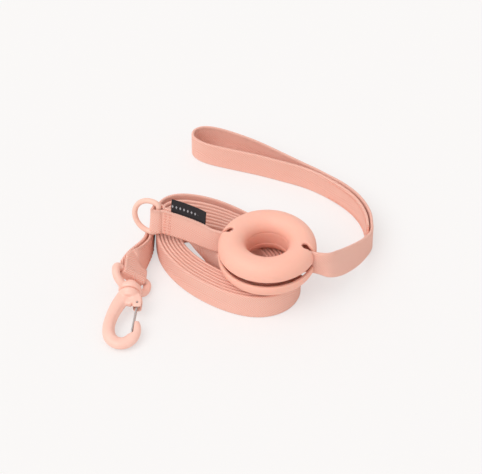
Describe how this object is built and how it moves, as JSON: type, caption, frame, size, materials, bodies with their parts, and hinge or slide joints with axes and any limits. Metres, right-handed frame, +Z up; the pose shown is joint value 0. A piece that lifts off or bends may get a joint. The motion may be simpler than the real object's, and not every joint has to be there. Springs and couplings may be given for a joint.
{
  "type": "dog leash",
  "caption": "Flat webbing dog leash with sewn hand loop, ring and swivel snap hook, its spare length coiled and held short by a silicone ring winder.",
  "frame": {"origin": "on the floor, directly beneath the ring winder's axis, in the plane of the coil's bottom edges", "axes": "+Z up through the winder's hole; +Y from the winder towards the far end of the hand loop; +X to its right, so the snap hook lies towards -X"},
  "size_m": [0.1942, 0.2275, 0.0548],
  "materials": {
    "webbing": "woven polyester twill",
    "thread": "bonded thread",
    "silicone": "matte moulded silicone",
    "hook_plastic": "satin moulded",
    "ring_coating": "satin coating on metal",
    "steel": "drawn wire",
    "label": "woven damask label"
  },
  "bodies": {
    "leash": {"strap_coil": "webbing", "strap_rise": "webbing", "strap_ring_fold": "webbing", "strap_ring_run": "webbing", "strap_winding": "webbing", "strap_handle_run": "webbing", "strap_hand_loop": "webbing", "strap_loop_tail": "webbing", "strap_hook_run": "webbing", "strap_hook_fold": "webbing", "ring_stitching": "thread", "hook_end_stitching": "thread", "loop_stitching": "thread", "woven_label": "label", "winder_lower_shell": "silicone", "winder_hub": "silicone"},
    "upper_flange": {"winder_upper_shell": "silicone"},
    "ring": {"d_ring": "ring_coating"},
    "eye": {"swivel_eye": "hook_plastic"},
    "hook": {"hook_body": "hook_plastic", "swivel_head": "hook_plastic"},
    "gate": {"gate_wire": "steel"}
  },
  "joints": [
    {"name": "upper_shell_lift", "type": "slide", "parent": "leash", "child": "upper_flange", "axis": [0, 0, 1], "range_m": [0, 0.008]},
    {"name": "ring_swing", "type": "hinge", "parent": "leash", "child": "ring", "pos_m": [-0.0758, 0.03524, 0.03488], "axis": [0.0706, 0.1586, 0.9848], "range_deg": [-12, 12]},
    {"name": "eye_pivot", "type": "hinge", "parent": "leash", "child": "eye", "pos_m": [-0.09651, -0.00071, 0.01419], "axis": [-0.7371, -0.0541, 0.6736], "range_deg": [0, 60]},
    {"name": "hook_swivel", "type": "hinge", "parent": "eye", "child": "hook", "pos_m": [-0.0975, -0.0145, 0.012], "axis": [0.0706, 0.9852, 0.1564], "continuous": true},
    {"name": "gate_open", "type": "hinge", "parent": "hook", "child": "gate", "pos_m": [-0.09183, -0.02778, 0.00997], "axis": [0.0112, 0.156, -0.9877], "range_deg": [0, 20], "stiffness_Nm_per_rad": 0.02, "springref_deg": -11.46}
  ]
}
